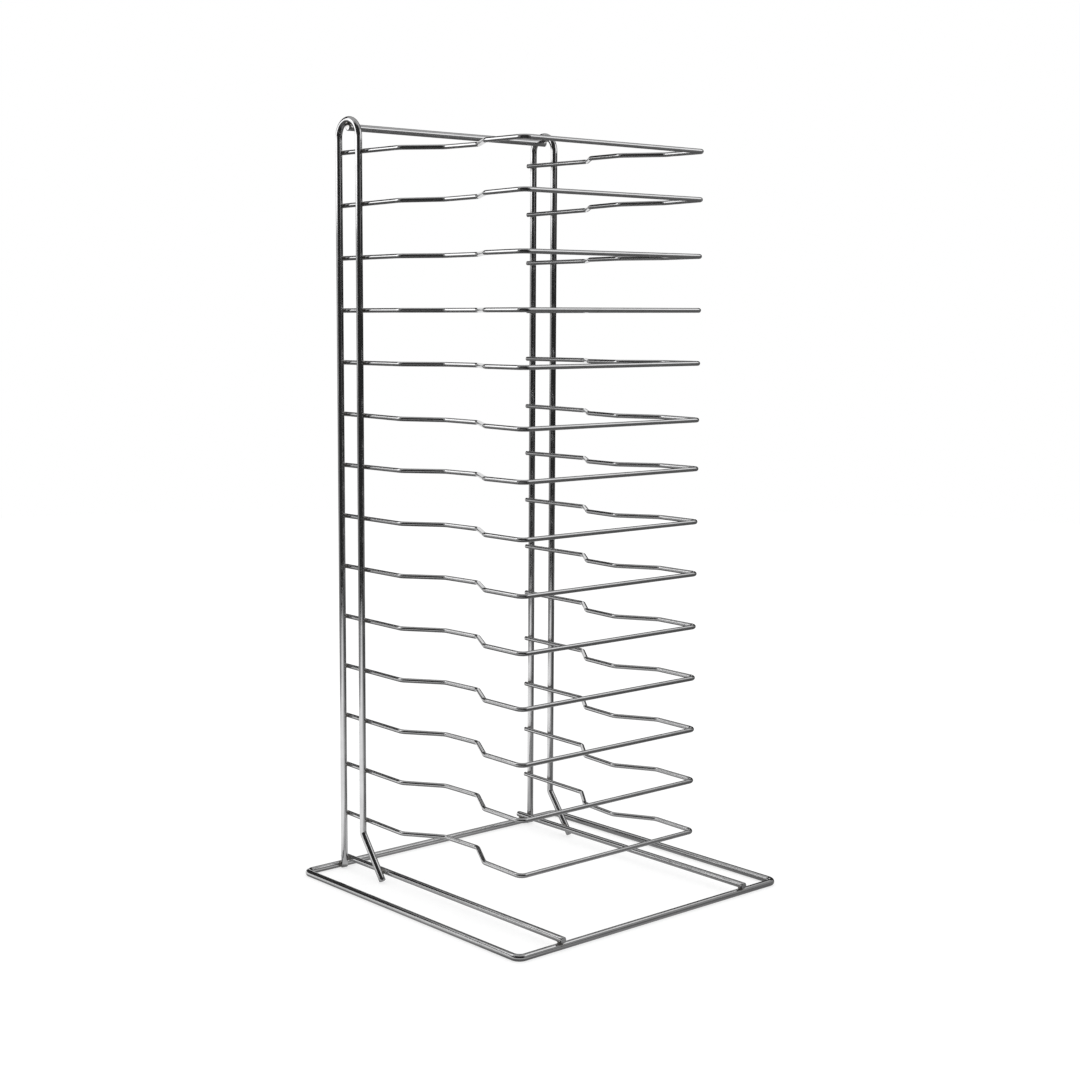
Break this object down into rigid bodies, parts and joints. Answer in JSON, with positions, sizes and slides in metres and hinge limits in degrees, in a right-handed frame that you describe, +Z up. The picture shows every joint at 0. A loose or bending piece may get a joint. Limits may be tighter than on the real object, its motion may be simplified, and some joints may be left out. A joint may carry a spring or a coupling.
{
  "type": "pizza pan rack",
  "caption": "Countertop welded wire rack for round pans: U-shaped wire shelves, open at the back, on two hairpin uprights over a square wire base, chrome plated.",
  "frame": {"origin": "on the surface the rack stands on, under the middle of its outline", "axes": "+Z up; -Y is the open front where pans slide in; +X is to the right of a person facing the front of the rack, as that person sees it"},
  "size_m": [0.3048, 0.2996, 0.667],
  "materials": {
    "frame_chrome": "bright chrome plate over heavy drawn wire, faint drawing lines, dull at the welds",
    "upright_chrome": "bright chrome plate over heavy drawn wire, dark reflections",
    "shelf_chrome": "bright chrome plate over lighter drawn wire, dull at the welds"
  },
  "bodies": {
    "root": {"base_ring": "frame_chrome", "left_runner": "frame_chrome", "right_runner": "frame_chrome", "left_upright": "upright_chrome", "right_upright": "upright_chrome", "top_crossbar": "frame_chrome", "shelf_01": "shelf_chrome", "shelf_02": "shelf_chrome", "shelf_03": "shelf_chrome", "shelf_04": "shelf_chrome", "shelf_05": "shelf_chrome", "shelf_06": "shelf_chrome", "shelf_07": "shelf_chrome", "shelf_08": "shelf_chrome", "shelf_09": "shelf_chrome", "shelf_10": "shelf_chrome", "shelf_11": "shelf_chrome", "shelf_12": "shelf_chrome", "shelf_13": "shelf_chrome", "shelf_14": "shelf_chrome"}
  },
  "joints": []
}
